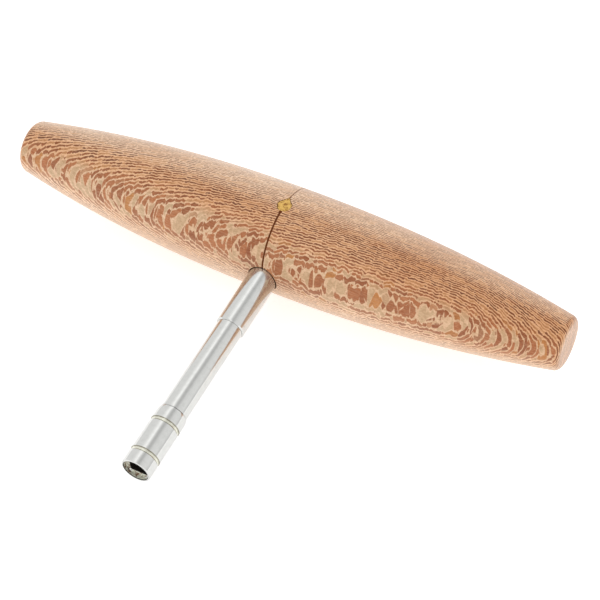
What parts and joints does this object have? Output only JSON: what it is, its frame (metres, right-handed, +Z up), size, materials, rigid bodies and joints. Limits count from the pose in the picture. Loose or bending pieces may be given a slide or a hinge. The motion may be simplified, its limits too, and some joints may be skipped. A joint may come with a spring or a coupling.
{
  "type": "tuning key",
  "caption": "T-handled string winder: spindle-shaped turned wooden cross handle on a slim chromed stem that ends in a ringed socket for square-headed string pins.",
  "frame": {"origin": "where the stem's axis crosses the handle's axis, at the middle of the handle", "axes": "+X along the handle, -Y down the stem towards the socket and sloping 7.5 degrees down with it, +Z up from the table that the tool lies on, with its belly and the socket's mouth touching the table"},
  "size_m": [0.16, 0.0939, 0.0288],
  "materials": {
    "lacewood": "satin clear lacquer over quartered wood with bold ray fleck",
    "chrome": "bright polished plating with fine turning marks",
    "steel": "plain turned steel",
    "brass": "sanded flush with the wood"
  },
  "bodies": {
    "tee": {"handle_left": "lacewood", "handle_right": "lacewood", "cross_bar": "steel", "lock_pin": "brass", "stem": "chrome", "ferrule": "chrome", "tip_stud": "steel"},
    "tip": {"socket": "chrome"}
  },
  "joints": [
    {"name": "socket_unscrew", "type": "slide", "parent": "tee", "child": "tip", "axis": [0, -0.9914, -0.1308], "range_m": [0, 0.008]}
  ]
}
